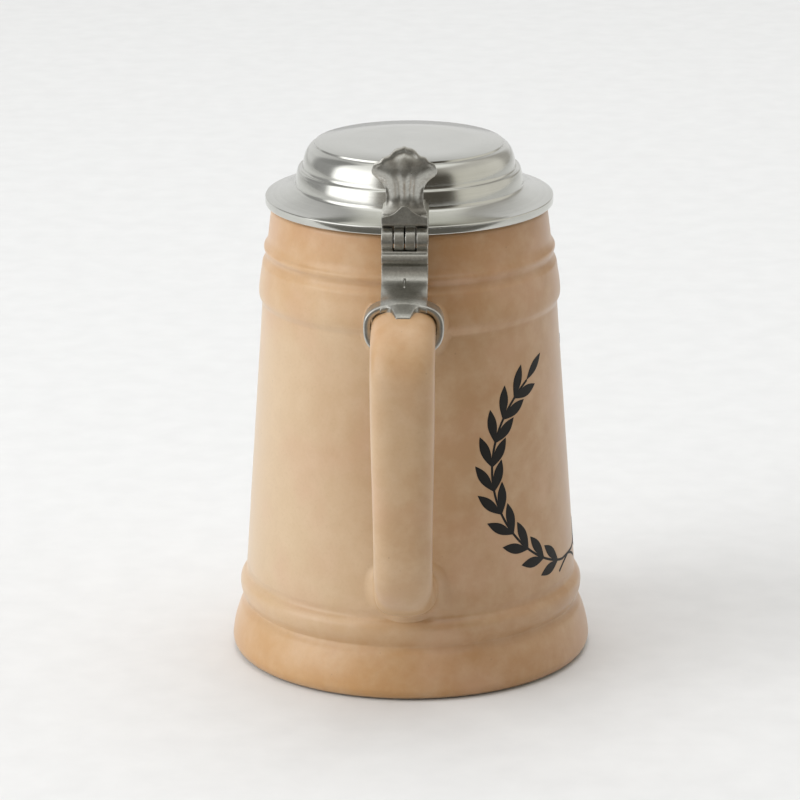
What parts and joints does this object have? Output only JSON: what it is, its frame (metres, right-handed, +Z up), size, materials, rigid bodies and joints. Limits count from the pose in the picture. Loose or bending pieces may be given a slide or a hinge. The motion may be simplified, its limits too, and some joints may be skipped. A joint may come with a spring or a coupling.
{
  "type": "beer stein",
  "caption": "Tall tapering stoneware mug with a strap handle and a stepped pewter lid hinged above the handle, opened by a shell-shaped thumblift.",
  "frame": {"origin": "centre of the foot's resting plane, on the mug's axis", "axes": "+Z up along the mug's axis; the handle and the hinge are towards -Y; +X is to the right of someone who looks at the handle"},
  "size_m": [0.108, 0.138, 0.1655],
  "materials": {
    "stoneware": "satin salt-type glaze",
    "pewter": "turned and lightly brushed pewter",
    "steel": "drawn pin stock",
    "print": "black ceramic print fired on the glaze"
  },
  "bodies": {
    "mug": {"stoneware_body": "stoneware", "handle": "stoneware", "handle_collar": "pewter", "hinge_strap": "pewter", "hinge_pin": "steel", "pin_plug_left": "pewter", "pin_plug_right": "pewter"},
    "lid": {"lid_cover": "pewter", "lid_shank": "pewter", "thumblift": "pewter"}
  },
  "joints": [
    {"name": "lid_hinge", "type": "hinge", "parent": "mug", "child": "lid", "pos_m": [0, -0.047, 0.1377], "axis": [1, 0, 0], "range_deg": [0, 100]}
  ]
}
